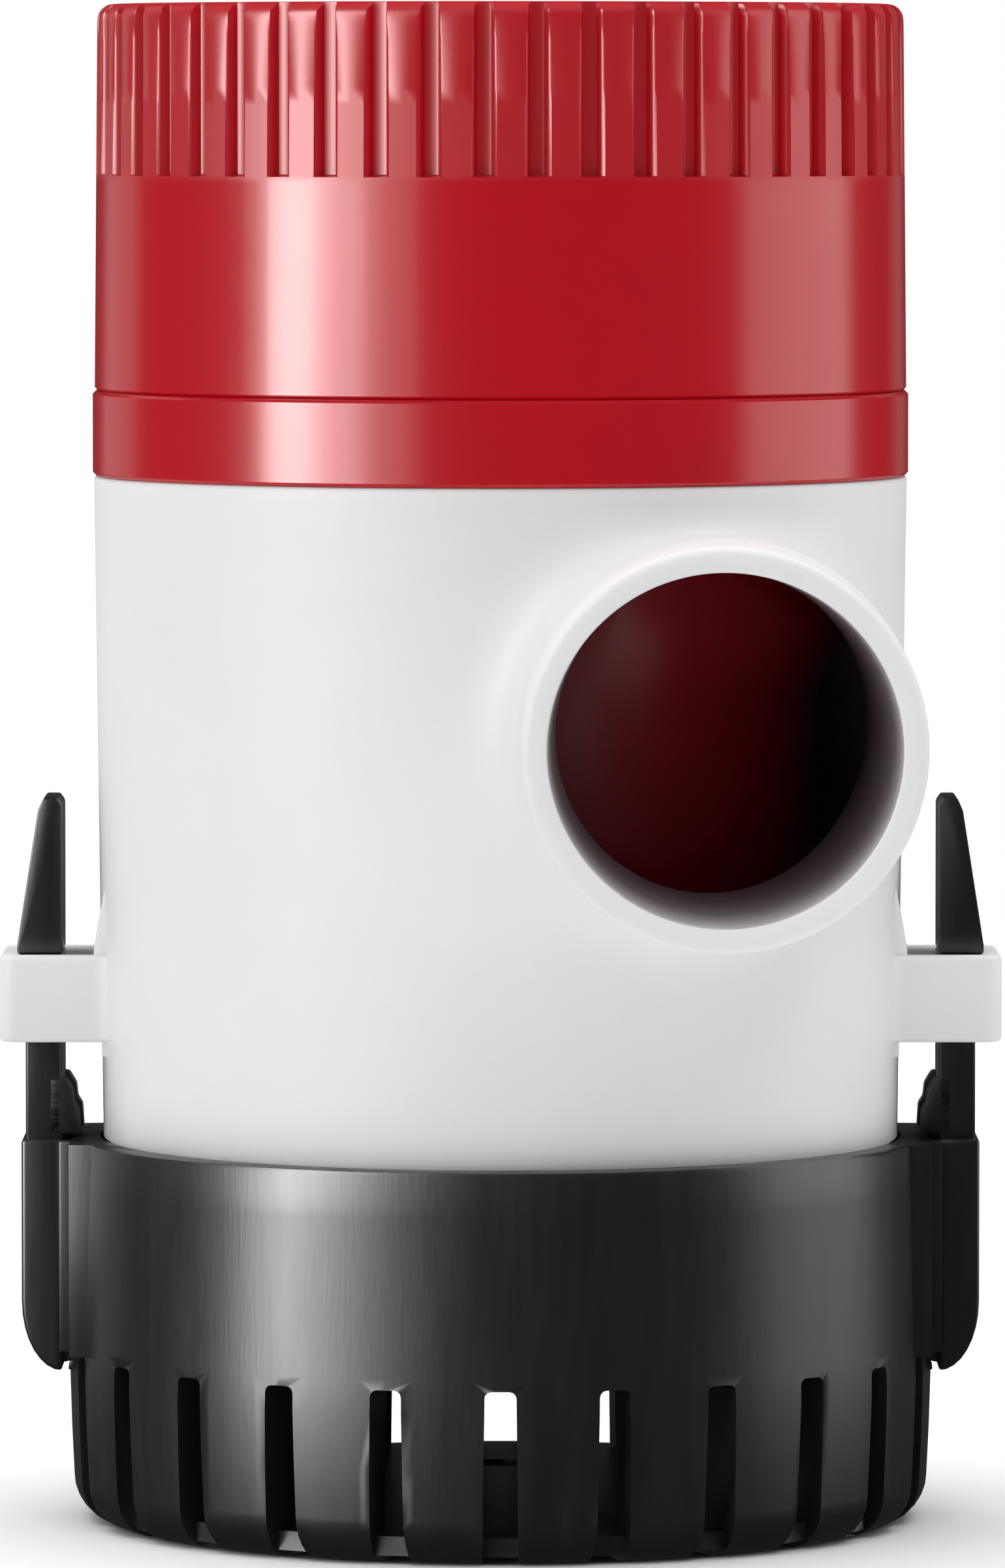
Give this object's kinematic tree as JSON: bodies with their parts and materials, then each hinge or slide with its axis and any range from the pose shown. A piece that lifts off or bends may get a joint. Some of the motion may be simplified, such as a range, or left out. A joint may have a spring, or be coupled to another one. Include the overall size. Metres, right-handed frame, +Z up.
{
  "type": "bilge pump",
  "caption": "Submersible bilge pump with a twist-out motor cartridge, a side hose spout and a clip-on slotted strainer base.",
  "frame": {"origin": "centre of the strainer base's fixing screw circle, at the feet's underside", "axes": "+Z up along the pump and motor axis, -Y the way the hose spout points, +X right"},
  "size_m": [0.074, 0.0849, 0.1121],
  "materials": {
    "red_shell": "red moulded plastic, satin gloss",
    "white_body": "white moulded plastic, satin gloss",
    "black_base": "black moulded plastic, fine texture",
    "seal_rubber": "black nitrile rubber, dull",
    "zinc_steel": "zinc-plated drawn steel",
    "ground_steel": "ground steel",
    "ivory_nylon": "ivory nylon",
    "ferrite": "sintered ferrite, dull",
    "bush_bronze": "sintered bronze",
    "carbon": "pressed carbon",
    "strip_copper": "copper alloy, bright",
    "tab_brass": "tinned brass",
    "capacitor_ceramic": "dipped ceramic",
    "lamination": "stacked electrical steel",
    "winding_copper": "enamelled copper wire",
    "impeller_plastic": "pale moulded plastic"
  },
  "bodies": {
    "housing": {"strainer_base": "black_base", "pump_body": "white_body"},
    "cartridge": {"top_cap": "red_shell", "motor_canister": "red_shell", "cap_seal": "seal_rubber", "cable_grommet": "seal_rubber", "motor_can": "zinc_steel", "motor_end_bell": "ivory_nylon", "magnet_right": "ferrite", "magnet_left": "ferrite", "front_bush": "bush_bronze", "rear_bush": "bush_bronze", "brush_right": "carbon", "brush_left": "carbon", "brush_strip_right": "strip_copper", "brush_strip_left": "strip_copper", "motor_terminals": "tab_brass", "suppression_capacitor": "capacitor_ceramic", "shaft_seal": "seal_rubber"},
    "rotor": {"motor_shaft": "ground_steel", "armature_core": "lamination", "armature_windings": "winding_copper", "commutator": "strip_copper", "thrust_washers": "ground_steel", "impeller": "impeller_plastic"},
    "clip_right": {"clip_arm_right": "black_base"},
    "clip_left": {"clip_arm_left": "black_base"}
  },
  "joints": [
    {"name": "cartridge_twist", "type": "hinge", "parent": "housing", "child": "cartridge", "pos_m": [0, 0, 0.0774], "axis": [0, 0, 1], "range_deg": [0, 30]},
    {"name": "rotor_spin", "type": "hinge", "parent": "cartridge", "child": "rotor", "pos_m": [0, 0, 0.055], "axis": [0, 0, 1], "continuous": true},
    {"name": "clip_right_squeeze", "type": "hinge", "parent": "housing", "child": "clip_right", "pos_m": [0.0323, 0, 0.01295], "axis": [0, -1, 0], "range_deg": [0, 2], "stiffness_Nm_per_rad": 0.5},
    {"name": "clip_left_squeeze", "type": "hinge", "parent": "housing", "child": "clip_left", "pos_m": [-0.0323, 0, 0.01295], "axis": [0, 1, 0], "range_deg": [0, 2], "stiffness_Nm_per_rad": 0.5}
  ]
}
